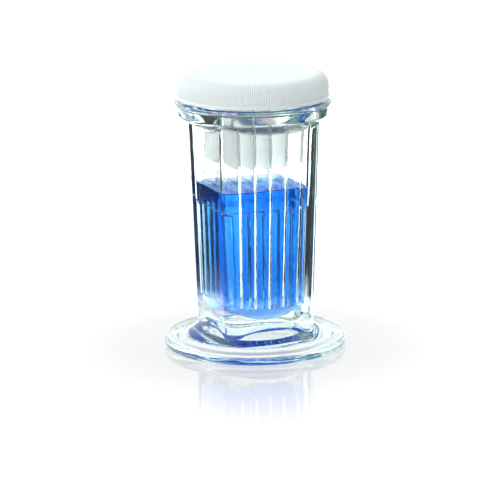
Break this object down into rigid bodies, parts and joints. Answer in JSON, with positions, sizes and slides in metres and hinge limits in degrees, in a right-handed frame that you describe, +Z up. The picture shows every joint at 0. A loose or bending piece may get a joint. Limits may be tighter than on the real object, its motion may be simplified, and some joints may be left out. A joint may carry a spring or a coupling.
{
  "type": "slide staining jar",
  "caption": "Glass staining jar with ribbed walls that hold five microscope slides upright in dye, on a round foot, with a screw cap.",
  "frame": {"origin": "centre of the foot's standing ring, on the bench", "axes": "+Z up; the ribbed walls face -Y and +Y, so slides stand side by side along X"},
  "size_m": [0.065, 0.065, 0.0985],
  "materials": {
    "glass": "pressed soda-lime glass, fire-polished, clear with a faint green-grey tint",
    "slide_glass": "clear float glass with ground edges, one end frosted for marking",
    "solution": "clear blue dye solution",
    "cap_plastic": "white moulded polypropylene, satin",
    "liner_foam": "white closed-cell polyethylene foam"
  },
  "bodies": {
    "jar": {"glass_jar": "glass", "staining_solution": "solution", "microscope_slide_1": "slide_glass", "microscope_slide_2": "slide_glass", "microscope_slide_3": "slide_glass", "microscope_slide_4": "slide_glass", "microscope_slide_5": "slide_glass"},
    "liner": {"cap_liner": "liner_foam"},
    "cap": {"screw_cap": "cap_plastic"}
  },
  "joints": [
    {"name": "cap_lift", "type": "slide", "parent": "jar", "child": "liner", "axis": [0, 0, 1], "range_m": [0, 0.01205]},
    {"name": "cap_turn", "type": "hinge", "parent": "liner", "child": "cap", "pos_m": [0, 0, 0.09], "axis": [0, 0, 1], "range_deg": [0, 1367]}
  ],
  "couplings": [
    {"joint": "cap_turn", "follows": "cap_lift", "rad_per_m": 1979}
  ]
}
